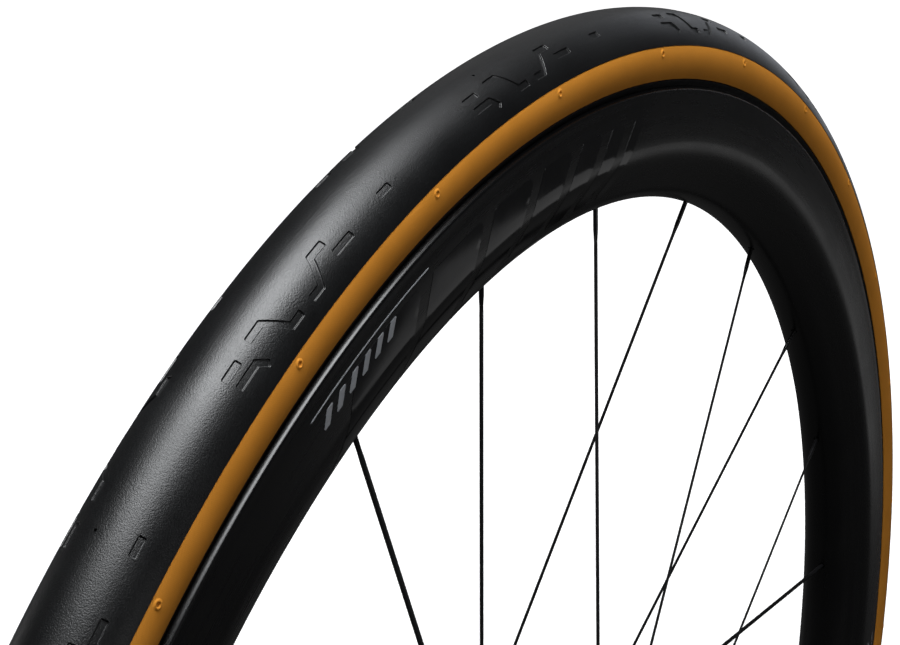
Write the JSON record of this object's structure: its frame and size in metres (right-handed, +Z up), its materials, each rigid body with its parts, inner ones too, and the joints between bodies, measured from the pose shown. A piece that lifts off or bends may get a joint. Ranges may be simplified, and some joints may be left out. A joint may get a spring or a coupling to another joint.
{
  "type": "bicycle wheel with tyre",
  "caption": "Front bicycle wheel: slick tan-sided tubeless tyre on a deep hollow rim, with bladed spokes, a disc-brake hub and an air valve.",
  "frame": {"origin": "centre of the wheel, on the axle's axis midway between the fork ends", "axes": "+Y along the axle towards the right side, away from the brake disc; +Z up; the valve hangs along -Z"},
  "size_m": [0.68, 0.1, 0.68],
  "materials": {
    "tread_rubber": "satin black rubber with a fine moulded grain",
    "tan_sidewall": "matt tan rubber over fine cloth",
    "chafer_rubber": "matt black rubber strip",
    "casing_cloth": "rubbered cotton cloth",
    "belt_cloth": "woven aramid",
    "bead_cord": "bundled aramid cord",
    "rim_carbon": "carbon fibre laminate, matt with gloss panels",
    "rim_tape": "thin polyester tape",
    "spoke_black": "black-coated stainless steel",
    "hub_black": "black anodised, satin",
    "bearing_steel": "ground bearing steel",
    "axle_aluminium": "machined",
    "valve_black": "black anodised, satin",
    "valve_brass": "turned brass",
    "valve_rubber": "matt black rubber"
  },
  "bodies": {
    "axle": {"axle": "axle_aluminium", "end_cap_left": "hub_black", "end_cap_right": "hub_black", "bearing_inner_race_left": "bearing_steel", "bearing_inner_race_right": "bearing_steel"},
    "wheel": {"tread_cap": "tread_rubber", "puncture_belt": "belt_cloth", "casing": "casing_cloth", "sidewall_left": "tan_sidewall", "sidewall_right": "tan_sidewall", "chafer_left": "chafer_rubber", "chafer_right": "chafer_rubber", "bead_core_left": "bead_cord", "bead_core_right": "bead_cord", "rim": "rim_carbon", "rim_tape": "rim_tape", "hub_shell": "hub_black", "valve_stem": "valve_black", "valve_grommet": "valve_rubber", "valve_core": "valve_brass", "valve_pin": "valve_brass", "bearing_ball_ring_left": "bearing_steel", "bearing_outer_race_left": "bearing_steel", "bearing_ball_ring_right": "bearing_steel", "bearing_outer_race_right": "bearing_steel", "spoke_01": "spoke_black", "spoke_02": "spoke_black", "spoke_03": "spoke_black", "spoke_04": "spoke_black", "spoke_05": "spoke_black", "spoke_06": "spoke_black", "spoke_07": "spoke_black", "spoke_08": "spoke_black", "spoke_09": "spoke_black", "spoke_10": "spoke_black", "spoke_11": "spoke_black", "spoke_12": "spoke_black", "spoke_13": "spoke_black", "spoke_14": "spoke_black", "spoke_15": "spoke_black", "spoke_16": "spoke_black", "spoke_17": "spoke_black", "spoke_18": "spoke_black", "spoke_19": "spoke_black", "spoke_20": "spoke_black", "spoke_21": "spoke_black", "spoke_22": "spoke_black", "spoke_23": "spoke_black", "spoke_24": "spoke_black"},
    "valve_cap": {"valve_cap": "valve_black"},
    "valve_core_nut": {"valve_core_nut": "valve_brass"},
    "valve_lock_nut": {"valve_lock_nut": "valve_black"}
  },
  "joints": [
    {"name": "wheel_spin", "type": "hinge", "parent": "axle", "child": "wheel", "pos_m": [0, 0, 0], "axis": [0, 1, 0], "continuous": true},
    {"name": "valve_cap_off", "type": "slide", "parent": "wheel", "child": "valve_cap", "axis": [0, 0, 1], "range_m": [0, 0.018]},
    {"name": "valve_core_nut_open", "type": "slide", "parent": "wheel", "child": "valve_core_nut", "axis": [0, 0, 1], "range_m": [0, 0.002]},
    {"name": "valve_lock_nut_travel", "type": "slide", "parent": "wheel", "child": "valve_lock_nut", "axis": [0, 0, 1], "range_m": [0, 0.022]}
  ]
}
